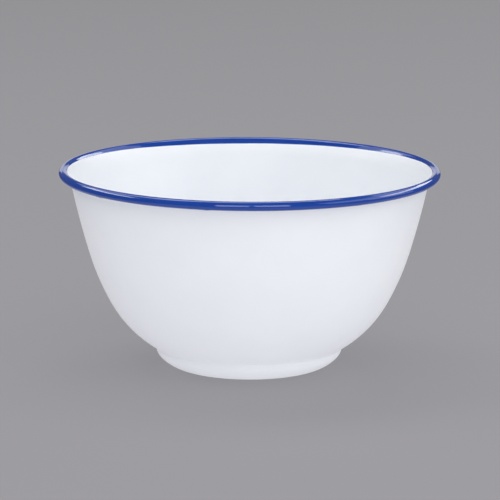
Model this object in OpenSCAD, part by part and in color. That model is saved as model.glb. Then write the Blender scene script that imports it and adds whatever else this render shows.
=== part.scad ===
// Enamelled basin bowl: one drawn steel sheet with a rolled rim and a pressed foot,
// a dark ground enamel fired on to it, white cover enamel inside and out, and a blue coat over the rim.
// The turned section is a chain of tangent arcs. Every layer is a band between two faces parallel to it.

/* [Bowl] */
// Diameter over the rolled rim
rim_d = 260; // [220:1:300]
// Height from the table to the top of the rim
bowl_h = 137.2; // [115:0.1:155]

/* [Wall] */
// Radius of the curve that rises from the foot, on the outside
heel_r = 82.6; // [74:0.1:92]
// Radius of the flatter curve above the heel, on the outside
belly_r = 178; // [140:1:210]
// Angle that the wall turns through on the heel, degrees
heel_angle = 30.8; // [26:0.1:35]
// Angle that the wall turns through on the belly, degrees
belly_angle = 11.9; // [8:0.1:16]
// Angle that the wall turns through above the belly, up to the neck, degrees
upper_angle = 4.6; // [2:0.1:7]

/* [Rim] */
// Diameter of the rolled bead over its coats
bead_d = 6.2; // [5:0.1:8]
// Radius of the neck that flares out under the bead, on the inside
neck_r = 25.5; // [20:0.5:34]
// Lean of the neck where it runs into the bead, degrees from upright
neck_lean = 37.5; // [30:0.5:46]
// Gap between the rolled edge of the steel and the wall behind it
curl_gap = 0.24; // [0.12:0.02:0.5]
// Radius of the enamel that pools in the corner under the bead
pool_r = 0.8; // [0.5:0.1:1.4]
// How far the blue reaches down the inside from the top of the bead
blue_drop = 4.2; // [2.6:0.1:8]

/* [Foot] */
// Greatest diameter of the foot
foot_d = 127.4; // [110:0.2:140]
// Radius of the foot's bottom edge
foot_edge_r = 26; // [18:0.5:30]
// Slope at which the bottom edge runs into the foot's side, degrees from level
foot_edge_end = 45; // [40:1:54]
// Radius of the foot's side
foot_side_r = 10; // [7:0.5:13]
// Slope of the foot's side where it turns out into the wall, degrees from level
foot_side_end = 84; // [76:1:89]
// Radius of the crease between the foot and the wall
crease_r = 1.5; // [1:0.1:3]
// Width of the flat ring that the bowl stands on
ring_w = 5; // [3:0.5:8]
// How far the middle of the base is pressed up from the table
base_rise = 1.2; // [0.6:0.1:2.4]
// Radius of the two bends between the raised base and the standing ring
base_bend_r = 6; // [4:0.5:10]

/* [Coats] */
// Thickness of the steel sheet
steel_t = 0.7; // [0.5:0.05:0.9]
// Thickness of the ground enamel
ground_t = 0.12; // [0.1:0.01:0.16]
// Thickness of the white and blue cover enamel
cover_t = 0.2; // [0.14:0.01:0.26]

/* [Hidden] */

// Furthest that a facet of the section may lie from its arc, and the greatest angle of one facet
facet_gap = 0.02;
facet_angle = 12;
// Points of the section nearer than this are one point
same_point = 0.000001;
// How many times the range of a slope that is searched for is halved
halvings = 40;
// Degrees in a quarter of a turn
quarter_turn = 90;

steel_colour = [0.60, 0.62, 0.65];
ground_colour = [0.11, 0.12, 0.17];
white_colour = [0.92, 0.93, 0.95];
blue_colour = [0.13, 0.27, 0.63];

// Depths of the layers, counted from the outside of the bowl to its inside
outer_ground_at = cover_t;
steel_out_at = outer_ground_at + ground_t;
steel_in_at = steel_out_at + steel_t;
inner_white_at = steel_in_at + ground_t;
wall_t = inner_white_at + cover_t;

// A slope is the direction of travel along the section, from the axis out and up to the rim and round
// the bead: 0 is level and outwards, 90 is upright. The inside of the bowl lies to the left of it.
function along(slope) = [cos(slope), sin(slope)];
function inward(slope) = [-sin(slope), cos(slope)];

// An arc is [centre, outside radius, first slope, last slope].
// The radius is negative where the centre lies outside the bowl.
function arc_point(arc, slope, depth) = arc[0] - (arc[1] - depth) * inward(slope);
function arc_end(arc, depth) = arc_point(arc, arc[3], depth);
// The arc that carries on from another without a kink
function next_arc(arc, radius, slope) = [arc[0] + (radius - arc[1]) * inward(arc[3]), radius, arc[3], slope];

function facets(arc) =
    let (r = abs(arc[1]) + wall_t)
    let (step = min(facet_angle, 2 * acos(1 - facet_gap / r)))
    max(1, ceil(abs(arc[3] - arc[2]) / step));
function arc_points(arc, depth) =
    let (n = facets(arc))
    [for (i = [0:n]) arc_point(arc, arc[2] + (arc[3] - arc[2]) * i / n, depth)];

function merged(points) =
    [for (i = [0:len(points) - 1]) if (i == 0 || norm(points[i] - points[i - 1]) > same_point) points[i]];
// One face of the section, through all its arcs, at a depth from the outside
function face(arcs, depth) = merged([for (arc = arcs) each arc_points(arc, depth)]);
function reversed(points) = [for (i = [len(points) - 1:-1:0]) points[i]];
function band(low, high) = concat(low, reversed(high));

// Foot: its side and edge set how wide the standing ring is
foot_reach = foot_edge_r * sin(foot_edge_end) + foot_side_r * (sin(foot_side_end) - sin(foot_edge_end));
ring_r = foot_d / 2 - foot_reach;
ring_inner_r = ring_r - ring_w;
base_bend = acos(1 - base_rise / (2 * base_bend_r));
base_r = ring_inner_r - 2 * base_bend_r * sin(base_bend);

base_edge = [[base_r, base_rise - base_bend_r], -base_bend_r, 0, -base_bend];
ring_bend = next_arc(base_edge, base_bend_r, 0);
foot_edge = [[ring_r, foot_edge_r], foot_edge_r, 0, foot_edge_end];
foot_side = next_arc(foot_edge, foot_side_r, foot_side_end);

// Bead and neck: the neck touches the bead's circle at the neck's lean
bead_r = bead_d / 2;
bead_centre = [rim_d / 2 - bead_r, bowl_h - bead_r];
neck_end = quarter_turn - neck_lean;
neck_centre = bead_centre - (neck_r - bead_r) * inward(neck_end);

// Wall: the crease, the heel and the belly for a slope at which the wall leaves the crease
wall_angle = heel_angle + belly_angle + upper_angle;
function crease_at(slope) = next_arc(foot_side, -crease_r, slope);
function heel_at(slope) = next_arc(crease_at(slope), heel_r, slope + heel_angle);
function belly_at(slope) = next_arc(heel_at(slope), belly_r, slope + heel_angle + belly_angle);

// The upper wall is one arc from the belly to the neck. It has no kink at either end where its chord
// has the slope of its middle, so the slope at the crease is searched for until the two agree.
function neck_point(slope) = neck_centre + (neck_r - wall_t) * inward(slope);
function upper_chord(slope) = neck_point(slope + wall_angle) - arc_end(belly_at(slope), 0);
function chord_miss(slope) = cross(along(slope + wall_angle - upper_angle / 2), upper_chord(slope));
function wall_slope(low, high, tries) =
    let (middle = (low + high) / 2)
    tries == 0 ? middle
    : chord_miss(middle) > 0 ? wall_slope(middle, high, tries - 1)
    : wall_slope(low, middle, tries - 1);
heel_start = wall_slope(0, foot_side_end, halvings);
neck_start = heel_start + wall_angle;

crease = crease_at(heel_start);
heel = heel_at(heel_start);
belly = belly_at(heel_start);
upper_wall = next_arc(belly, norm(upper_chord(heel_start)) / (2 * sin(upper_angle / 2)), neck_start);

// Slope of the bead's skin at a point under the bead, from its distances to the two centres
to_neck = neck_centre - bead_centre;
function slope_under_bead(from_bead, from_neck) =
    let (d = norm(to_neck))
    let (turn = acos((d * d + from_bead * from_bead - from_neck * from_neck) / (2 * d * from_bead)))
    atan2(to_neck[1], to_neck[0]) - turn - quarter_turn;

// The pool fills the corner under the bead with a round that touches the bead and the neck
pool_from_bead = bead_r + pool_r;
pool_slope = slope_under_bead(pool_from_bead, neck_r - wall_t - pool_r);
pool_centre = bead_centre + pool_from_bead * inward(pool_slope);
pool_ray = pool_centre - neck_centre;
pool_start = atan2(pool_ray[1], pool_ray[0]) - quarter_turn;
curl_end = slope_under_bead(bead_r - cover_t - ground_t, neck_r - cover_t - ground_t - steel_t - curl_gap);
blue_start = acos((bowl_h - blue_drop - neck_centre[1]) / neck_r);

// The lip is cut at the slopes where a coat starts or ends, so that neighbours share their corners
function neck_arc(first, last) = [neck_centre, wall_t - neck_r, first, last];
function bead_arc(first, last) = [bead_centre, wall_t - bead_r, first, last];
neck_cuts = [neck_start, max(pool_start, blue_start), min(pool_start, blue_start), neck_end];
neck = [for (i = [0:2]) neck_arc(neck_cuts[i], neck_cuts[i + 1])];
neck_to_pool = [for (arc = neck) if (arc[2] > pool_start) arc];
neck_to_blue = [for (arc = neck) if (arc[2] > blue_start) arc];
neck_from_blue = [for (arc = neck) if (arc[2] <= blue_start) arc];
// The bead has corners at its top, side and bottom, so that it measures the stated height and diameter
bead_cuts = [neck_end, 0, -quarter_turn, -2 * quarter_turn, pool_slope];
bead = [for (i = [0:3]) bead_arc(bead_cuts[i], bead_cuts[i + 1])];
curl = bead_arc(pool_slope, curl_end);
pool = [pool_centre, -pool_r, pool_start, pool_slope + 2 * quarter_turn];

bowl = [base_edge, ring_bend, foot_edge, foot_side, crease, heel, belly, upper_wall];

// The middle of the base at a depth, on the axis
function base_middle(depth) = [0, base_rise + depth];
function from_axis(arcs, depth) = concat([base_middle(depth)], face(arcs, depth));

module turned(points) {
    rotate_extrude($fn = 180)
        polygon(points);
}

// A layer that runs from the axis along the arcs, between two depths
module layer(arcs, out_at, in_at) {
    turned(band(from_axis(arcs, out_at), from_axis(arcs, in_at)));
}

module steel_shell() {
    color(steel_colour)
        layer(concat(bowl, neck, bead, [curl]), steel_out_at, steel_in_at);
}

module inner_ground_coat() {
    color(ground_colour)
        layer(concat(bowl, neck, bead), steel_in_at, inner_white_at);
}

module outer_ground_coat() {
    color(ground_colour)
        layer(concat(bowl, neck_to_pool, [pool]), outer_ground_at, steel_out_at);
}

module inner_white_coat() {
    color(white_colour)
        layer(concat(bowl, neck_to_blue), inner_white_at, wall_t);
}

module outer_white_coat() {
    color(white_colour)
        layer(concat(bowl, neck_to_pool, [pool]), 0, outer_ground_at);
}

module blue_rim_coat() {
    arcs = concat(neck_from_blue, bead);
    color(blue_colour)
        turned(band(face(arcs, inner_white_at), face(arcs, wall_t)));
}

steel_shell();
inner_ground_coat();
outer_ground_coat();
inner_white_coat();
outer_white_coat();
blue_rim_coat();
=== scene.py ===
# %% [markdown]
# # An enamelled basin bowl
# The real bowl is one sheet of steel, drawn deep, with its edge rolled outwards into a bead. Glass is fired on
# to it in coats: a dark ground coat that grips the steel, white inside and out, and blue brushed over the bead.
# The solids of those six layers are packed already. This lesson dresses them. It keeps their sizes, turns the
# three coats that can be seen again with finer curves and the small unevenness of hand work, and gives each its
# gloss. The steel and the ground coats stay as they are, under the glass, with finishes of their own.

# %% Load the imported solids
import math

import bpy
import numpy as np
from mathutils import Matrix, Vector


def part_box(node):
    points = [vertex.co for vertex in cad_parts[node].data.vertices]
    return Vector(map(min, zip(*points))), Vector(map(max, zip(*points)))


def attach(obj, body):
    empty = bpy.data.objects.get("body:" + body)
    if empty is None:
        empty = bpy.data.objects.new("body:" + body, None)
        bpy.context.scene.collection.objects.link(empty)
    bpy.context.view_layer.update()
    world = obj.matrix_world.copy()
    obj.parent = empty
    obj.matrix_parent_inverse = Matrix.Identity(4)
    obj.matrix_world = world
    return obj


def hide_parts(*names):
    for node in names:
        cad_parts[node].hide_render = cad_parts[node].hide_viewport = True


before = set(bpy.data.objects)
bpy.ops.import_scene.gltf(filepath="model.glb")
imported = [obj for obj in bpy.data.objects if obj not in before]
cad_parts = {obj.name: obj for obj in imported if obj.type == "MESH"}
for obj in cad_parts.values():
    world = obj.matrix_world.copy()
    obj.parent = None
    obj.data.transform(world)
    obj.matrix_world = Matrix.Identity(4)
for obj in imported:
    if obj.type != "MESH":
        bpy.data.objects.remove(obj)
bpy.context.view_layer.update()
print("solids:", ", ".join(sorted(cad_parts)))

# %% [markdown]
# ## The sizes of the section
# A turned bowl has one section, and the section is a chain of arcs: the pressed foot, the crease above it, the
# round heel, the flatter belly, the nearly straight upper wall, the neck that flares out, and the bead. The
# curve could be drawn by hand in the viewport, but arcs that run into each other without a kink give the clean,
# unbroken reflections of glass, so they are worked out from the same few sizes as the solids. The radius and
# height of the rim are read from the solids themselves.

# %% Sizes, in metres and degrees
MM = 0.001
rim_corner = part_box("blue_rim_coat")[1]
RIM_R, BOWL_H = rim_corner.x, rim_corner.z
HEEL_R, HEEL_ANGLE = 82.6 * MM, 30.8
BELLY_R, BELLY_ANGLE = 178 * MM, 11.9
UPPER_ANGLE = 4.6
BEAD_R, NECK_R, NECK_LEAN = 3.1 * MM, 25.5 * MM, 37.5
POOL_R, BLUE_DROP = 0.8 * MM, 4.2 * MM
FOOT_R, FOOT_EDGE_R, FOOT_EDGE_END = 63.7 * MM, 26 * MM, 45
FOOT_SIDE_R, FOOT_SIDE_END, CREASE_R = 10 * MM, 84, 1.5 * MM
RING_W, BASE_RISE, BASE_BEND_R = 5 * MM, 1.2 * MM, 6 * MM
COVER_T = 0.2 * MM
INNER_WHITE_AT = 1.14 * MM
WALL_T = INNER_WHITE_AT + COVER_T
SAME_POINT, SAME_SLOPE, MERGE_GAP = 1e-7, 1e-9, 1e-6
print(f"rim {2000 * RIM_R:.2f} mm across, {1000 * BOWL_H:.2f} mm high, wall {1000 * WALL_T:.2f} mm")

# %% [markdown]
# ## The chain of arcs
# A slope says which way the section runs: 0 is level and outwards, 90 is upright, and it turns past level again
# round the bead. The inside of the bowl always lies to the left. An arc keeps its centre, its radius on the
# outside of the wall, and its first and last slope. A point at a depth, counted from the outside, is then one
# line of arithmetic, and every coat of the bowl is the band between two depths.


# %% Arcs that run into each other
def along(slope):
    return np.array((math.cos(math.radians(slope)), math.sin(math.radians(slope))))


def inward(slope):
    return np.array((-math.sin(math.radians(slope)), math.cos(math.radians(slope))))


def arc_point(arc, slope, depth):
    centre, radius, _, _ = arc
    return centre - (radius - depth) * inward(slope)


def carry_on(arc, radius, last):
    return (arc[0] + (radius - arc[1]) * inward(arc[3]), radius, arc[3], last)


def direction(vector):
    return math.degrees(math.atan2(vector[1], vector[0]))


# %% [markdown]
# ## Foot, wall and rim
# The foot starts from the table and the bead from the stated rim, so the wall between them has to fit both. Its
# heel and belly have their own radii. The upper wall is one last arc, and the slope at which the wall leaves the
# crease is halved in on until that arc meets the neck without a kink.

# %% The foot
side_reach = FOOT_SIDE_R * (along(FOOT_SIDE_END)[1] - along(FOOT_EDGE_END)[1])
foot_reach = FOOT_EDGE_R * along(FOOT_EDGE_END)[1] + side_reach
ring_r = FOOT_R - foot_reach
base_bend = math.degrees(math.acos(1 - BASE_RISE / (2 * BASE_BEND_R)))
base_r = ring_r - RING_W - 2 * BASE_BEND_R * along(base_bend)[1]
base_edge = (np.array((base_r, BASE_RISE - BASE_BEND_R)), -BASE_BEND_R, 0, -base_bend)
ring_bend = carry_on(base_edge, BASE_BEND_R, 0)
foot_edge = (np.array((ring_r, FOOT_EDGE_R)), FOOT_EDGE_R, 0, FOOT_EDGE_END)
foot_side = carry_on(foot_edge, FOOT_SIDE_R, FOOT_SIDE_END)
print(f"standing ring {2000 * (ring_r - RING_W):.1f} to {2000 * ring_r:.1f} mm across")

# %% The bead, the neck and the wall between
bead_centre = np.array((RIM_R - BEAD_R, BOWL_H - BEAD_R))
neck_end = 90 - NECK_LEAN
neck_centre = bead_centre - (NECK_R - BEAD_R) * inward(neck_end)
wall_angle = HEEL_ANGLE + BELLY_ANGLE + UPPER_ANGLE


def wall_from(slope):
    crease = carry_on(foot_side, -CREASE_R, slope)
    heel = carry_on(crease, HEEL_R, slope + HEEL_ANGLE)
    belly = carry_on(heel, BELLY_R, slope + HEEL_ANGLE + BELLY_ANGLE)
    chord = neck_centre + (NECK_R - WALL_T) * inward(slope + wall_angle) - arc_point(belly, belly[3], 0)
    return crease, heel, belly, chord


low, high = 0.0, FOOT_SIDE_END
while high - low > SAME_SLOPE:
    middle = (low + high) / 2
    chord = wall_from(middle)[3]
    if direction(chord) > middle + wall_angle - UPPER_ANGLE / 2:
        low = middle
    else:
        high = middle
heel_start = (low + high) / 2
neck_start = heel_start + wall_angle
crease, heel, belly, chord = wall_from(heel_start)
upper_wall = carry_on(belly, np.linalg.norm(chord) / (2 * along(UPPER_ANGLE / 2)[1]), neck_start)
wall_arcs = [base_edge, ring_bend, foot_edge, foot_side, crease, heel, belly, upper_wall]
print(f"wall leaves the crease at {heel_start:.2f} and meets the neck at {neck_start:.2f} degrees")

# %% [markdown]
# ## Where each coat ends
# Under the bead the white glass pools in the corner and fills it with a small round that touches both the bead
# and the neck. The blue starts on the inside a few millimetres below the top of the bead, runs over it and stops
# at that pool. All these places are slopes on the neck or the bead.

# %% The ends of the coats
to_neck = neck_centre - bead_centre
reach = np.linalg.norm(to_neck)
from_bead, from_neck = BEAD_R + POOL_R, NECK_R - WALL_T - POOL_R
turn = math.degrees(math.acos((reach**2 + from_bead**2 - from_neck**2) / (2 * reach * from_bead)))
pool_slope = direction(to_neck) - turn - 90
pool_centre = bead_centre + from_bead * inward(pool_slope)
pool_start = direction(pool_centre - neck_centre) - 90
blue_start = math.degrees(math.acos((BOWL_H - BLUE_DROP - neck_centre[1]) / NECK_R))


def neck_arc(first, last):
    return (neck_centre, WALL_T - NECK_R, first, last)


bead = (bead_centre, WALL_T - BEAD_R, neck_end, pool_slope)
pool = (pool_centre, -POOL_R, pool_start, pool_slope + 180)
print(f"blue from slope {blue_start:.1f} over the bead to {pool_slope:.1f}, pool from {pool_start:.1f} degrees")

# %% [markdown]
# ## Outlines of the three coats that show
# Each outline goes out along the face that looks into the bowl and comes back along the face that looks out, so
# that the finished skins face outwards. A number called edge rides on every point: it is 1 where the white and
# the blue meet on the inside and fades to 0 away from there. The brush leaves the blue a little thicker along
# that line, and the swell below adds that thickness.

# %% Trace the arcs
FACET_GAP, FACET_ANGLE = 0.004 * MM, 6
EDGE_FADE = 6 * MM
SWELL, SWELL_RISE = 0.06 * MM, 0.25 * MM


def slopes_of(arc):
    step = min(FACET_ANGLE, 2 * math.degrees(math.acos(1 - FACET_GAP / (abs(arc[1]) + WALL_T))))
    return np.linspace(arc[2], arc[3], max(1, math.ceil(abs(arc[3] - arc[2]) / step)) + 1)


def trace(arcs, depth):
    points = [arc_point(arc, slope, depth) for arc in arcs for slope in slopes_of(arc)]
    kept = [p for i, p in enumerate(points) if i == 0 or np.linalg.norm(p - points[i - 1]) > SAME_POINT]
    return np.array(kept)


def from_axis(arcs, depth):
    return np.vstack([[(0, BASE_RISE + depth)], trace(arcs, depth)])


def edge_fade(points):
    steps = np.linalg.norm(np.diff(points, axis=0), axis=1)
    to_end = np.append(np.cumsum(steps[::-1])[::-1], 0)
    return np.clip(1 - to_end / EDGE_FADE, 0, 1)


# %% The white lining and the white outside
def white_outline(arcs, upper_depth, lower_depth, fades):
    upper, lower = from_axis(arcs, upper_depth), from_axis(arcs, lower_depth)
    edge = np.concatenate([edge_fade(upper), edge_fade(lower)[::-1]]) * fades
    return np.vstack([upper, lower[::-1]]), edge


lining_arcs = wall_arcs + [neck_arc(neck_start, blue_start)]
outside_arcs = wall_arcs + [neck_arc(neck_start, pool_start), pool]
lining_line, lining_edge = white_outline(lining_arcs, WALL_T, INNER_WHITE_AT, 1)
outside_line, outside_edge = white_outline(outside_arcs, COVER_T, 0, 0)
print(f"lining: {len(lining_line)} points; outside: {len(outside_line)} points")

# %% The blue edging
LIP_POINTS = 16
lip = neck_arc(blue_start, neck_end)
lip_share = np.linspace(0, 1, LIP_POINTS) ** 2
lip_slopes = blue_start + (neck_end - blue_start) * lip_share
lip_run = NECK_R * np.radians(blue_start - lip_slopes)
swell = SWELL * (1 - np.exp(-lip_run / SWELL_RISE)) * (1 - lip_share) ** 2
lip_upper = np.array([arc_point(lip, slope, WALL_T + rise) for slope, rise in zip(lip_slopes, swell)])
lip_lower = np.array([arc_point(lip, slope, INNER_WHITE_AT) for slope in lip_slopes])
bead_upper, bead_lower = trace([bead], WALL_T)[1:], trace([bead], INNER_WHITE_AT)[1:]
blue_line = np.vstack([lip_upper, bead_upper, bead_lower[::-1], lip_lower[::-1]])
blue_edge = np.concatenate([1 - lip_share, np.zeros(2 * len(bead_upper)), (1 - lip_share)[::-1]])
print(f"blue edging: {len(blue_line)} points, swell up to {1000 * swell.max():.3f} mm")

# %% [markdown]
# ## One tree that turns every coat
# The Spin tool or a Screw modifier would turn an outline too. Geometry Nodes keep the turning and the unevenness
# in one place, with named inputs that can be changed later. The tree lays the outline flat, carries it round a
# circle with Curve to Mesh, and then swings the points near the colour line along the neck. The brush did not
# keep one height: the line rides up at the two sides, and wanders by a noise that depends on the direction round
# the bowl alone. White and blue use the same values, so they stay together. Merge by Distance closes the middle
# of the base, and edges sharper than a bend stay crisp.

# %% Helpers for node trees
NODE_STEP = 190


def put(tree, kind, inputs=None, **settings):
    node = tree.nodes.new(kind)
    node.location = (NODE_STEP * len(tree.nodes), 0)
    for name, value in settings.items():
        setattr(node, name, value)
    for name, value in (inputs or {}).items():
        if isinstance(value, bpy.types.NodeSocket):
            tree.links.new(value, node.inputs[name])
        else:
            node.inputs[name].default_value = value
    return node


def calc(tree, operation, *values):
    return put(tree, "ShaderNodeMath", dict(enumerate(values)), operation=operation).outputs[0]


def vector_calc(tree, operation, inputs):
    result = "Value" if operation in ("LENGTH", "DISTANCE") else "Vector"
    return put(tree, "ShaderNodeVectorMath", inputs, operation=operation).outputs[result]


def split(tree, vector):
    return put(tree, "ShaderNodeSeparateXYZ", {0: vector}).outputs


def position(tree):
    return split(tree, put(tree, "GeometryNodeInputPosition").outputs[0])


def noise(tree, vector, scale, detail):
    return put(tree, "ShaderNodeTexNoise", {"Vector": vector, "Scale": scale, "Detail": detail}).outputs[0]


def new_group(name, kind, inputs, outputs):
    tree = bpy.data.node_groups.new(name, kind)
    for way, sockets in (("INPUT", inputs), ("OUTPUT", outputs)):
        for label, socket_type in sockets.items():
            tree.interface.new_socket(label, in_out=way, socket_type=socket_type)
    return tree, put(tree, "NodeGroupInput").outputs


# %% Carry the outline round a circle
def carried_round(tree, given):
    # The path wants the outline lying flat: across is away from the path, and up is turned over
    flat = position(tree)
    across = calc(tree, "SUBTRACT", flat["X"], given["Path Radius"])
    upturned = calc(tree, "MULTIPLY", flat["Z"], -1.0)
    lying = put(tree, "ShaderNodeCombineXYZ", {"X": across, "Y": upturned}).outputs[0]
    laid = put(tree, "GeometryNodeSetPosition", {"Geometry": given["Outline"], "Position": lying}).outputs[0]
    profile = put(tree, "GeometryNodeMeshToCurve", {"Mesh": laid}).outputs[0]
    circle = {"Resolution": given["Segments"], "Radius": given["Path Radius"]}
    path = put(tree, "GeometryNodeCurvePrimitiveCircle", circle).outputs["Curve"]
    return put(tree, "GeometryNodeCurveToMesh", {"Curve": path, "Profile Curve": profile}).outputs[0]


# %% Swing the colour line about the centre of the neck
def swing_of(tree, given, way, edge):
    waves = {"Vector": way, "W": given["Seed"], "Scale": given["Waves"], "Detail": 3.0}
    drift = put(tree, "ShaderNodeTexNoise", waves, noise_dimensions="4D").outputs[0]
    wander = calc(tree, "MULTIPLY", calc(tree, "SUBTRACT", drift, 0.5), given["Wander"])
    sideways = split(tree, way)["X"]
    side_lift = calc(tree, "MULTIPLY", calc(tree, "MULTIPLY", sideways, sideways), given["Side Lift"])
    lift = calc(tree, "ADD", given["Lift"], side_lift)
    return calc(tree, "MULTIPLY", edge, calc(tree, "SUBTRACT", wander, lift))


def line_swung(tree, given, turned):
    here = position(tree)
    level = put(tree, "ShaderNodeCombineXYZ", {"X": here["X"], "Y": here["Y"]}).outputs[0]
    out, way = vector_calc(tree, "LENGTH", {0: level}), vector_calc(tree, "NORMALIZE", {0: level})
    named = put(tree, "GeometryNodeInputNamedAttribute", {"Name": "edge"}, data_type="FLOAT")
    edge = named.outputs["Attribute"]
    swing = swing_of(tree, given, way, edge)
    cos, sin = calc(tree, "COSINE", swing), calc(tree, "SINE", swing)
    dr = calc(tree, "SUBTRACT", out, given["Neck Radius"])
    dz = calc(tree, "SUBTRACT", here["Z"], given["Neck Height"])
    swung_r = calc(tree, "SUBTRACT", calc(tree, "MULTIPLY", dr, cos), calc(tree, "MULTIPLY", dz, sin))
    swung_z = calc(tree, "ADD", calc(tree, "MULTIPLY", dr, sin), calc(tree, "MULTIPLY", dz, cos))
    new_r = calc(tree, "ADD", swung_r, given["Neck Radius"])
    new_z = calc(tree, "ADD", swung_z, given["Neck Height"])
    height = put(tree, "ShaderNodeCombineXYZ", {"Z": new_z}).outputs[0]
    place = vector_calc(tree, "ADD", {0: vector_calc(tree, "SCALE", {0: way, "Scale": new_r}), 1: height})
    near = calc(tree, "GREATER_THAN", edge, 0.0)
    moves = {"Geometry": turned, "Selection": near, "Position": place}
    return put(tree, "GeometryNodeSetPosition", moves).outputs[0]


# %% The turning tree
NUMBER, WHOLE, SHAPE = "NodeSocketFloat", "NodeSocketInt", "NodeSocketGeometry"
TREE_INPUTS = {
    "Outline": SHAPE,
    "Path Radius": NUMBER,
    "Segments": WHOLE,
    "Neck Radius": NUMBER,
    "Neck Height": NUMBER,
    "Lift": NUMBER,
    "Side Lift": NUMBER,
    "Wander": NUMBER,
    "Waves": NUMBER,
    "Seed": NUMBER,
    "Crisp Angle": NUMBER,
    "Finish": "NodeSocketMaterial",
}


def turning_tree():
    tree, given = new_group("turned_coat", "GeometryNodeTree", TREE_INPUTS, {"Coat": SHAPE})
    moved = line_swung(tree, given, carried_round(tree, given))
    # Close the poles, shade smooth apart from the crisp edges, and finish
    closed = put(tree, "GeometryNodeMergeByDistance", {"Geometry": moved, "Distance": MERGE_GAP}).outputs[0]
    bend = put(tree, "GeometryNodeInputMeshEdgeAngle").outputs["Unsigned Angle"]
    sharp = calc(tree, "GREATER_THAN", bend, given["Crisp Angle"])
    faces = {"Geometry": closed, "Shade Smooth": True}
    smooth = put(tree, "GeometryNodeSetShadeSmooth", faces, domain="FACE").outputs[0]
    edges = {"Geometry": smooth, "Selection": sharp, "Shade Smooth": False}
    crisp = put(tree, "GeometryNodeSetShadeSmooth", edges, domain="EDGE").outputs[0]
    real = put(tree, "GeometryNodeRealizeInstances", {"Geometry": crisp}).outputs[0]
    dressed = {"Geometry": real, "Material": given["Finish"]}
    put(tree, "NodeGroupOutput", {"Coat": put(tree, "GeometryNodeSetMaterial", dressed).outputs[0]})
    return tree


turned_coat = turning_tree()
print(f"tree {turned_coat.name}: {len(turned_coat.nodes)} nodes")

# %% [markdown]
# ## What all the enamels share
# Fired enamel is glass that has run, so it never lies as flat as polished stone. Slow waves and a fine orange
# peel bend its reflections, and here and there a speck of kiln dust or a burst bubble breaks the skin. All the
# coats have this in their own measure, so it is built once, as two shader groups with named inputs, and placed
# in each finish. They give only masks and heights; the shader itself stays in the finish.

# %% Glass skin and kiln specks
SPECK_LEAST, SPECK_CRISP = 0.5, 3.0


def glass_skin_group():
    tree, given = new_group(
        "glass_skin",
        "ShaderNodeTree",
        {"Vector": "NodeSocketVector", "Wave Scale": NUMBER, "Peel Scale": NUMBER, "Peel Share": NUMBER},
        {"Tone": NUMBER, "Height": NUMBER},
    )
    wave = noise(tree, given["Vector"], given["Wave Scale"], 2.0)
    peel = noise(tree, given["Vector"], given["Peel Scale"], 1.0)
    fine = calc(tree, "MULTIPLY", calc(tree, "SUBTRACT", peel, wave), given["Peel Share"])
    put(tree, "NodeGroupOutput", {"Tone": wave, "Height": calc(tree, "ADD", wave, fine)})
    return tree


def kiln_specks_group():
    tree, given = new_group(
        "kiln_specks",
        "ShaderNodeTree",
        {"Vector": "NodeSocketVector", "Cells per Metre": NUMBER, "Radius": NUMBER, "Share": NUMBER},
        {"Mask": NUMBER},
    )
    grid = {"Vector": given["Vector"], "Scale": given["Cells per Metre"]}
    cells = put(tree, "ShaderNodeTexVoronoi", grid).outputs
    chance = put(tree, "ShaderNodeSeparateColor", {0: cells["Color"]}).outputs
    size = calc(tree, "MULTIPLY", given["Radius"], given["Cells per Metre"])
    size = calc(tree, "MULTIPLY", size, calc(tree, "ADD", chance["Green"], SPECK_LEAST))
    dot = calc(tree, "SUBTRACT", 1.0, calc(tree, "DIVIDE", cells["Distance"], size))
    dot = put(tree, "ShaderNodeClamp", {"Value": calc(tree, "MULTIPLY", dot, SPECK_CRISP)}).outputs[0]
    chosen = calc(tree, "LESS_THAN", chance["Red"], given["Share"])
    put(tree, "NodeGroupOutput", {"Mask": calc(tree, "MULTIPLY", dot, chosen)})
    return tree


glass_skin, kiln_specks = glass_skin_group(), kiln_specks_group()
print("shared effects:", glass_skin.name, kiln_specks.name)


# %% Helpers for finishes
def new_finish(name):
    finish = bpy.data.materials.new(name)
    finish.use_nodes = True
    tree = finish.node_tree
    shader = tree.nodes["Principled BSDF"]
    where = put(tree, "ShaderNodeTexCoord").outputs["Object"]
    return finish, tree, shader, where


def blend(tree, factor, first, second):
    node = put(tree, "ShaderNodeMix", {"Factor": factor}, data_type="RGBA", clamp_factor=True)
    for socket, value in ((node.inputs[6], first), (node.inputs[7], second)):
        if isinstance(value, bpy.types.NodeSocket):
            tree.links.new(value, socket)
        else:
            socket.default_value = (*value, 1)
    return node.outputs[2]


def effect(tree, group, where, inputs):
    return put(tree, "ShaderNodeGroup", {"Vector": where, **inputs}, node_tree=group).outputs


def scaled(tree, value, low, high):
    return put(tree, "ShaderNodeMapRange", {"Value": value, "To Min": low, "To Max": high}).outputs[0]


def wire(tree, shader, colour, roughness, height, depth):
    bump = put(tree, "ShaderNodeBump", {"Strength": 1.0, "Distance": depth, "Height": height})
    tree.links.new(colour, shader.inputs["Base Color"])
    tree.links.new(roughness, shader.inputs["Roughness"])
    tree.links.new(bump.outputs["Normal"], shader.inputs["Normal"])


# %% [markdown]
# ## White enamel
# The white is a cool white with a soft gloss, and a slow drift of tone where the sprayed coat is thinner. A few
# dark specks of kiln dust lie in it. Outside it also carries the marks of use and making: grey scuffs on the ring
# that slides on the table, and three spots where the firing pins stood and the dark ground coat shows. These are
# masks over Object coordinates, because the marks sit at known places on the bowl. The gloss is kept soft, because
# the real wall shows slow shading and no clear picture of the lamps.

# %% White finishes
WHITE, WHITE_THIN = (0.820, 0.841, 0.875), (0.786, 0.809, 0.851)
SPECK, SCUFF, GROUND = (0.20, 0.19, 0.18), (0.42, 0.42, 0.43), (0.020, 0.022, 0.035)
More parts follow.
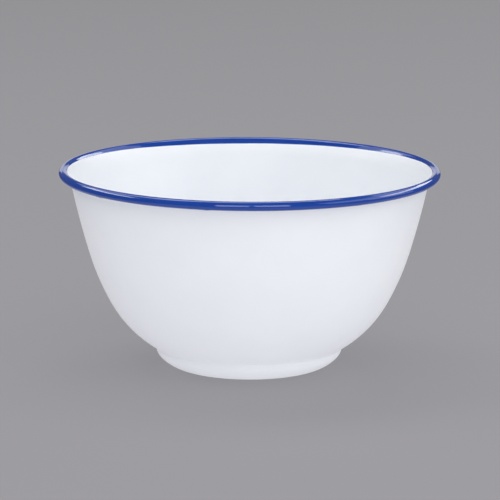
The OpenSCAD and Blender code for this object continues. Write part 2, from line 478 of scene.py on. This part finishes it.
# The roughness stays above about 0.27, because a finish that crosses it renders with hard-edged patches
WHITE_DRIFT, WHITE_ROUGH, WHITE_IOR, WHITE_BUMP = (1.1, -0.1), (0.29, 0.35), 1.42, 0.06 * MM
WHITE_SKIN = {"Wave Scale": 38.0, "Peel Scale": 700.0, "Peel Share": 0.12}
WHITE_SPECKS = {"Cells per Metre": 110.0, "Radius": 0.16 * MM, "Share": 0.035}
SPECK_DARK, SPECK_DEPTH = 0.75, 0.2
SCUFF_H, SCUFF_DRIFT, SCUFF_MOST = 0.25 * MM, (-1.2, 2.0), 0.6
WORN_GRAIN, WORN_ROUGH = (420.0, 4.0), 0.5
PIN_ANGLES, PIN_R, PIN_RAGGED = (40, 160, 280), 1.1 * MM, 0.5 * MM


def white_enamel(name, standing):
    finish, tree, shader, where = new_finish(name)
    skin = effect(tree, glass_skin, where, WHITE_SKIN)
    specks = effect(tree, kiln_specks, where, WHITE_SPECKS)["Mask"]
    colour = blend(tree, scaled(tree, skin["Tone"], *WHITE_DRIFT), WHITE, WHITE_THIN)
    colour = blend(tree, calc(tree, "MULTIPLY", specks, SPECK_DARK), colour, SPECK)
    roughness = scaled(tree, skin["Tone"], *WHITE_ROUGH)
    height = calc(tree, "SUBTRACT", skin["Height"], calc(tree, "MULTIPLY", specks, SPECK_DEPTH))
    if standing:
        above = calc(tree, "DIVIDE", split(tree, where)["Z"], SCUFF_H)
        low = calc(tree, "MAXIMUM", calc(tree, "SUBTRACT", 1.0, above), 0.0)
        grain = noise(tree, where, *WORN_GRAIN)
        scuff = calc(tree, "MULTIPLY", low, scaled(tree, grain, *SCUFF_DRIFT))
        scuff = put(tree, "ShaderNodeClamp", {"Value": scuff, "Max": SCUFF_MOST}).outputs[0]
        pins = 0.0
        for angle in PIN_ANGLES:
            spot = (*(along(angle) * (ring_r - RING_W / 2)), 0)
            gap = vector_calc(tree, "DISTANCE", {0: where, 1: spot})
            ragged = calc(tree, "ADD", gap, scaled(tree, grain, -PIN_RAGGED, PIN_RAGGED))
            pins = calc(tree, "MAXIMUM", pins, calc(tree, "LESS_THAN", ragged, PIN_R))
        colour = blend(tree, pins, blend(tree, scuff, colour, SCUFF), GROUND)
        worn = calc(tree, "MULTIPLY", calc(tree, "ADD", scuff, pins), WORN_ROUGH)
        roughness = calc(tree, "MAXIMUM", roughness, worn)
        height = calc(tree, "SUBTRACT", height, pins)
    wire(tree, shader, colour, roughness, height, WHITE_BUMP)
    shader.inputs["IOR"].default_value = WHITE_IOR
    return finish


white_inside = white_enamel("white_enamel_inside", False)
white_outside = white_enamel("white_enamel_outside", True)
print("finishes:", white_inside.name, white_outside.name)

# %% [markdown]
# ## Blue enamel
# The blue is cobalt glass, brushed round the bead by hand while the bowl turns. It is deepest where it lies thick
# on the bead, with faint streaks along the brush's way, and paler in the thin line where it feathers out over the
# white. The streaks are a noise that changes fast with height and slowly round the bowl; the thin line reads
# the edge number that rides on the mesh.

# %% Blue finish
BLUE_DEEP, BLUE_BRIGHT, BLUE_THIN = (0.004, 0.036, 0.250), (0.007, 0.054, 0.325), (0.045, 0.115, 0.470)
BLUE_ROUGH, BLUE_IOR, BLUE_BUMP = (0.03, 0.10), 1.70, 0.05 * MM
BLUE_SKIN = {"Wave Scale": 55.0, "Peel Scale": 900.0, "Peel Share": 0.1}
BLUE_PINHOLES = {"Cells per Metre": 160.0, "Radius": 0.14 * MM, "Share": 0.06}
BRUSH_PACE, BRUSH_DRIFT = (30, 30, 1500), (-0.6, 1.6)
THIN_POWER, THIN_MOST = 9.0, 0.55
HOLE_PALE, HOLE_DEPTH = 0.5, 0.3


def blue_enamel(name):
    finish, tree, shader, where = new_finish(name)
    skin = effect(tree, glass_skin, where, BLUE_SKIN)
    pinholes = effect(tree, kiln_specks, where, BLUE_PINHOLES)["Mask"]
    streak = noise(tree, vector_calc(tree, "MULTIPLY", {0: where, 1: BRUSH_PACE}), 1.0, 2.0)
    colour = blend(tree, scaled(tree, streak, *BRUSH_DRIFT), BLUE_DEEP, BLUE_BRIGHT)
    edge = put(tree, "ShaderNodeAttribute", attribute_name="edge").outputs["Fac"]
    thin = calc(tree, "MULTIPLY", calc(tree, "POWER", edge, THIN_POWER), THIN_MOST)
    colour = blend(tree, thin, colour, BLUE_THIN)
    colour = blend(tree, calc(tree, "MULTIPLY", pinholes, HOLE_PALE), colour, WHITE)
    roughness = scaled(tree, skin["Tone"], *BLUE_ROUGH)
    height = calc(tree, "SUBTRACT", skin["Height"], calc(tree, "MULTIPLY", pinholes, HOLE_DEPTH))
    wire(tree, shader, colour, roughness, height, BLUE_BUMP)
    shader.inputs["IOR"].default_value = BLUE_IOR
    return finish


blue_rim = blue_enamel("blue_enamel_rim")
print("finish:", blue_rim.name)

# %% [markdown]
# ## Steel and ground coat
# These two lie under the glass and only show where a coat is lifted off, but a part that can be opened up should
# look right inside as well. The ground coat is blue-black and full of fine bubbles. The steel is pickled sheet:
# even grey, with a fine grain and cloudy patches left by the acid.

# %% Hidden finishes
GROUND_PALE, GROUND_ROUGH, GROUND_BUMP = (0.034, 0.037, 0.058), (0.22, 0.40), 0.03 * MM
GROUND_SKIN = {"Wave Scale": 60.0, "Peel Scale": 1200.0, "Peel Share": 0.5}
GROUND_BUBBLES = {"Cells per Metre": 900.0, "Radius": 0.25 * MM, "Share": 0.4}
STEEL_DARK, STEEL_PALE = (0.50, 0.51, 0.53), (0.62, 0.63, 0.65)
STEEL_CLOUD, STEEL_GRAIN = (28.0, 3.0), (2600.0, 2.0)
STEEL_ROUGH, STEEL_BUMP = (0.34, 0.52), 0.01 * MM


def ground_enamel(name):
    finish, tree, shader, where = new_finish(name)
    skin = effect(tree, glass_skin, where, GROUND_SKIN)
    bubbles = effect(tree, kiln_specks, where, GROUND_BUBBLES)["Mask"]
    colour = blend(tree, skin["Tone"], GROUND, GROUND_PALE)
    height = calc(tree, "SUBTRACT", skin["Height"], bubbles)
    wire(tree, shader, colour, scaled(tree, skin["Tone"], *GROUND_ROUGH), height, GROUND_BUMP)
    return finish


def pickled_steel(name):
    finish, tree, shader, where = new_finish(name)
    cloud, grain = noise(tree, where, *STEEL_CLOUD), noise(tree, where, *STEEL_GRAIN)
    colour = blend(tree, cloud, STEEL_DARK, STEEL_PALE)
    wire(tree, shader, colour, scaled(tree, cloud, *STEEL_ROUGH), grain, STEEL_BUMP)
    shader.inputs["Metallic"].default_value = 1
    return finish


hidden = {
    "steel_shell": pickled_steel("pickled_steel"),
    "inner_ground_coat": ground_enamel("ground_enamel"),
}
hidden["outer_ground_coat"] = hidden["inner_ground_coat"]
for node, finish in hidden.items():
    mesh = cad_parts[node].data
    mesh.materials.clear()
    mesh.materials.append(finish)
print("finishes on the solids that stay:", ", ".join(hidden))

# %% [markdown]
# ## Turn the coats
# Each outline becomes a mesh of points and edges, takes the tree as a modifier, and comes out as a plain closed
# skin. The inputs are set by their identifiers before the first look at the result. A skin counts as sound when
# every edge has two faces and its volume comes out positive, which means that the faces look outwards.

# %% Turn an outline
SEGMENTS = 256
LINE_LIFT, SIDE_LIFT, WANDER_ANGLE = math.radians(0.9), math.radians(5.9), math.radians(2.0)
WAVES, SEED, CRISP_ANGLE = 3.5, 4.0, math.radians(40)


def turn_coat(name, line, edge, closed, finish):
    outline = bpy.data.meshes.new(name + "_outline")
    links = [(i, i + 1) for i in range(len(line) - 1)] + ([(len(line) - 1, 0)] if closed else [])
    outline.from_pydata([(r, 0, z) for r, z in line], links, [])
    outline.attributes.new("edge", "FLOAT", "POINT").data.foreach_set("value", edge.astype(np.float32))
    piece = bpy.data.objects.new(name, outline)
    bpy.context.scene.collection.objects.link(piece)
    modifier = piece.modifiers.new("turned_coat", "NODES")
    modifier.node_group = turned_coat
    values = {
        "Path Radius": RIM_R / 2,
        "Segments": SEGMENTS,
        "Neck Radius": float(neck_centre[0]),
        "Neck Height": float(neck_centre[1]),
        "Lift": LINE_LIFT,
        "Side Lift": SIDE_LIFT,
        "Wander": WANDER_ANGLE,
        "Waves": WAVES,
        "Seed": SEED,
        "Crisp Angle": CRISP_ANGLE,
        "Finish": finish,
    }
    for socket in turned_coat.interface.items_tree:
        if socket.name in values:
            modifier[socket.identifier] = values[socket.name]
    graph = bpy.context.evaluated_depsgraph_get()
    turned = piece.evaluated_get(graph)
    skin = bpy.data.meshes.new_from_object(turned, preserve_all_data_layers=True, depsgraph=graph)
    piece.modifiers.remove(modifier)
    piece.data = skin
    skin.name = name
    bpy.data.meshes.remove(outline)
    return piece


def soundness(mesh):
    mesh.calc_loop_triangles()
    points = np.array([v.co for v in mesh.vertices])
    corners = points[np.array([t.vertices for t in mesh.loop_triangles])]
    volume = np.einsum("ij,ij->i", corners[:, 0], np.cross(corners[:, 1], corners[:, 2])).sum() / 6
    uses = np.bincount([loop.edge_index for loop in mesh.loops], minlength=len(mesh.edges))
    return f"{len(corners)} triangles, {int((uses != 2).sum())} open edges, {volume * 1e9:.0f} cubic mm"


# %% The three coats
white_lining = turn_coat("white_lining", lining_line, lining_edge, False, white_inside)
white_jacket = turn_coat("white_jacket", outside_line, outside_edge, False, white_outside)
blue_edging = turn_coat("blue_edging", blue_line, blue_edge, True, blue_rim)
for piece in (white_lining, white_jacket, blue_edging):
    print(piece.name, soundness(piece.data))

# %% [markdown]
# ## Drips
# Before it was fired the wet blue sagged, and a few drops were caught hanging from the underside of the bead.
# They could be modelled as separate beads of glass, but they are one with the coat, so the points of the skin are
# pushed outwards round a handful of places. Each has its direction round the bowl, counted from the front, the
# length of its foot along the rim, and how far it hangs.

# %% Hang the drips
DRIPS = (
    (-51, 2.2, 0.34),
    (-13, 1.6, 0.32),
    (34, 1.8, 0.14),
    (83, 2.6, 0.30),
    (141, 2.0, 0.26),
    (-118, 2.4, 0.30),
)
DRIP_TILT, DRIP_REACH = math.radians(-84), math.radians(30)


def hang_drips(mesh):
    points = np.array([v.co for v in mesh.vertices])
    out = np.hypot(points[:, 0], points[:, 1])
    round_bowl = np.degrees(np.arctan2(points[:, 0], -points[:, 1]))
    dr, dz = out - bead_centre[0], points[:, 2] - bead_centre[1]
    skin = np.hypot(dr, dz)
    tilt = np.arctan2(dz, dr) - DRIP_TILT
    lift = np.zeros(len(points))
    for angle, width, drop in DRIPS:
        run = np.radians(round_bowl - angle) * out
        lift += drop * MM * np.exp(-((run / (width * MM)) ** 2) - (tilt / DRIP_REACH) ** 2)
    lift[skin < BEAD_R - COVER_T / 2] = 0
    points[:, :2] *= (1 + lift * dr / skin / out)[:, None]
    points[:, 2] += lift * dz / skin
    mesh.vertices.foreach_set("co", points.astype(np.float32).ravel())
    mesh.update()
    return lift.max()


print(f"{len(DRIPS)} drips, the largest hangs {1000 * hang_drips(blue_edging.data):.2f} mm")

# %% [markdown]
# ## Floor and camera
# The bowl stands on a plain pale floor. The camera is a long lens a good way off, a little above the rim, so the
# mouth is a narrow ellipse and the sides hardly converge. The floor answers the camera and mirrors with a soft
# grey, so that the white bowl stands out. Most of that grey is a tone of its own, so the bowl's shadow stays as
# faint as on a big lit sweep of paper. To stray light it answers as the pale board of a light table, which fills
# the underside of the wall, and the gloss alone finds a paler sheet round the bowl, which keeps the edges of the
# wall light. Seen from below the floor is clear, so that the foot can be looked at.

# %% Floor
FLOOR_HALF, FLOOR_ROUGH, FLOOR_GLOSS = 12, 0.9, 0.1
FLOOR_LIT, FLOOR_TINT = (0.120, 0.116, 0.126), (0.98, 0.97, 1.01)
FLOOR_EVEN, FLOOR_GLOW = 0.19, 0.90
SHEET_SIDES, SHEET_FRONT, SHEET_GLOW = (0.38, 0.26), (-0.45, -0.25), 0.40


def ramp(tree, value, start, end):
    span = {"Value": value, "From Min": start, "From Max": end}
    return put(tree, "ShaderNodeMapRange", span, interpolation_type="SMOOTHSTEP").outputs[0]


def picture_ray(tree, ray):
    mirrored = calc(tree, "MAXIMUM", ray["Is Glossy Ray"], ray["Is Transmission Ray"])
    return calc(tree, "MAXIMUM", ray["Is Camera Ray"], mirrored)


def pale_floor():
    mesh = bpy.data.meshes.new("floor")
    corners = [(x * FLOOR_HALF, y * FLOOR_HALF, 0) for x, y in ((-1, -1), (1, -1), (1, 1), (-1, 1))]
    mesh.from_pydata(corners, [], [(0, 1, 2, 3)])
    finish = bpy.data.materials.new("pale_floor")
    finish.use_nodes = True
    tree = finish.node_tree
    shader, end = tree.nodes["Principled BSDF"], tree.nodes["Material Output"]
    shader.inputs["Roughness"].default_value = FLOOR_ROUGH
    shader.inputs["Specular IOR Level"].default_value = FLOOR_GLOSS
    ray = put(tree, "ShaderNodeLightPath").outputs
    seen = picture_ray(tree, ray)
    tree.links.new(blend(tree, seen, (0, 0, 0), FLOOR_LIT), shader.inputs["Base Color"])
    shader.inputs["Emission Color"].default_value = (*FLOOR_TINT, 1)
    place = split(tree, put(tree, "ShaderNodeTexCoord").outputs["Object"])
    aside = calc(tree, "ABSOLUTE", place["X"])
    sheet = calc(tree, "MULTIPLY", ramp(tree, aside, *SHEET_SIDES), ramp(tree, place["Y"], *SHEET_FRONT))
    mirrored = calc(tree, "MULTIPLY", calc(tree, "MULTIPLY", sheet, ray["Is Glossy Ray"]), SHEET_GLOW)
    even = calc(tree, "MULTIPLY", ray["Is Camera Ray"], FLOOR_EVEN)
    glow = calc(tree, "ADD", scaled(tree, seen, FLOOR_GLOW, 0.0), calc(tree, "ADD", even, mirrored))
    tree.links.new(glow, shader.inputs["Emission Strength"])
    from_below = put(tree, "ShaderNodeNewGeometry").outputs["Backfacing"]
    clear = put(tree, "ShaderNodeBsdfTransparent").outputs[0]
    unseen = calc(tree, "MULTIPLY", from_below, ray["Is Camera Ray"])
    both = put(tree, "ShaderNodeMixShader", {0: unseen, 1: shader.outputs[0], 2: clear})
    tree.links.new(both.outputs[0], end.inputs["Surface"])
    mesh.materials.append(finish)
    floor = bpy.data.objects.new("floor", mesh)
    bpy.context.scene.collection.objects.link(floor)
    return floor


pale_floor()
print(f"floor {2 * FLOOR_HALF} m square")

# %% Camera
VIEW_RISE, VIEW_DISTANCE = 10.024, 2.8
VIEW_TILT, VIEW_ROLL, VIEW_SIDE = 1.079, 0.251, 0.00044
LENS, VIEW_END = 296.21, 100

camera = bpy.data.objects.new("camera", bpy.data.cameras.new("camera"))
bpy.context.scene.collection.objects.link(camera)
camera.data.lens = LENS
camera.data.clip_end = VIEW_END
rise = math.radians(VIEW_RISE)
back, up = VIEW_DISTANCE * math.cos(rise), VIEW_DISTANCE * math.sin(rise)
camera.location = Vector((VIEW_SIDE, -back, bead_centre[1] + up))
pitch, roll = math.radians(90 - VIEW_RISE - VIEW_TILT), math.radians(VIEW_ROLL)
camera.rotation_euler = (Matrix.Rotation(pitch, 3, "X") @ Matrix.Rotation(roll, 3, "Z")).to_euler()
bpy.context.scene.camera = camera
print("camera at", [round(c, 3) for c in camera.location])

# %% [markdown]
# ## Light
# White enamel shows its form by slow shading, and blue enamel by what it mirrors, so the light is broad and even.
# Panels light the bowl and are mirrored in it: one above and behind, a fill on the right, and a low pale wall far
# behind that gives the two ends of the rim their bloom. Fills light the bowl but stay out of its gloss, because the
# real wall shows no lamps. The streaks and soft bands along the bead come from strips, windows and walls that stand
# there only for the rim to mirror, and light linking keeps them off the white. A panel's power follows from its
# area, so that it can be set by how bright it looks.

# %% Place, size and brightness of the panels
PANELS = {
    "top_back": ((-0.3, 0.8, 2.2), (2.2, 1.1), 2.05),
    "back_low": ((0.0, 4.5, 0.52), (2.7, 1.0), 0.55),
    "right_fill": ((1.95, -0.5, 0.95), (2.4, 1.2), 0.85),
}
FILLS = {
    "left_box": ((-1.83, 0.46, 1.36), (1.9, 0.5), 2.4),
    "right_box": ((1.74, 1.09, 1.16), (2.7, 0.45), 2.0),
    "front_low": ((0.06, -2.11, 0.65), (1.6, 1.24), 1.4),
    "front_top": ((0.1, -1.3, 1.9), (2.6, 1.7), 1.2),
}
STRIPS = {
    "left_strip": ((-1.78, 0.45, 1.32), (1.9, 0.5), 3.0),
    "right_strip": ((1.69, 1.06, 1.13), (2.7, 0.45), 3.2),
    "left_window": ((-0.36, -2.06, 0.65), (0.72, 1.24), 1.8),
    "right_window": ((0.48, -2.04, 0.65), (0.76, 1.24), 1.8),
    "left_wall": ((-1.53, 1.07, 1.64), (2.2, 0.9), 0.8),
    "right_wall": ((1.53, 1.07, 1.64), (2.2, 0.9), 0.8),
    "right_low": ((2.3, 0.1, 0.3), (1.6, 0.7), 0.6),
}
print(f"{len(PANELS)} panels, {len(FILLS)} fills and {len(STRIPS)} strips for the rim")

# %% Hang the panels
AIM, POWER = Vector((0, 0, 0.1)), 4
rim_only = bpy.data.collections.new("rim_only")
rim_only.objects.link(blue_edging)


def soft_panel(name, place, size, brightness, lights=True, mirrored=True):
    lamp = bpy.data.lights.new(name, "AREA")
    lamp.shape = "RECTANGLE"
    lamp.size, lamp.size_y = size
    lamp.energy = POWER * size[0] * size[1] * brightness
    panel = bpy.data.objects.new(name, lamp)
    panel.location = place
    panel.rotation_euler = (AIM - Vector(place)).to_track_quat("-Z", "Y").to_euler()
    panel.visible_camera, panel.visible_diffuse, panel.visible_glossy = False, lights, mirrored
    bpy.context.scene.collection.objects.link(panel)
    return panel


for name, (place, size, brightness) in PANELS.items():
    soft_panel(name, place, size, brightness)
for name, (place, size, brightness) in FILLS.items():
    soft_panel(name, place, size, brightness, mirrored=False)
for name, (place, size, brightness) in STRIPS.items():
    soft_panel(name, place, size, brightness, lights=False).light_linking.receiver_collection = rim_only
print("panels:", ", ".join(PANELS), "fills:", ", ".join(FILLS), "strips for the rim:", ", ".join(STRIPS))

# %% Room light and picture settings
ROOM_LIGHT, ROOM_SEEN = 0.39, 0.12

world = bpy.data.worlds.new("room")
bpy.context.scene.world = world
world.use_nodes = True
room = world.node_tree.nodes["Background"]
room.inputs["Color"].default_value = (1, 1, 1, 1)
ray = put(world.node_tree, "ShaderNodeLightPath").outputs
seen = picture_ray(world.node_tree, ray)
world.node_tree.links.new(scaled(world.node_tree, seen, ROOM_LIGHT, ROOM_SEEN), room.inputs["Strength"])
bpy.context.scene.view_settings.view_transform = "Standard"
print(f"room light {ROOM_LIGHT}, room seen {ROOM_SEEN}")

# %% [markdown]
# ## Hand over
# The bowl has no moving parts, so every piece rides on the one body. The three turned coats stand for the solids
# of the same layers, which stay in the model for collision and are hidden from view.

# %% Ride and replace
for piece, node, slot in (
    (white_lining, "inner_white_coat", "white_enamel"),
    (white_jacket, "outer_white_coat", "white_enamel"),
    (blue_edging, "blue_rim_coat", "blue_enamel"),
):
    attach(piece, "root")
    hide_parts(node)
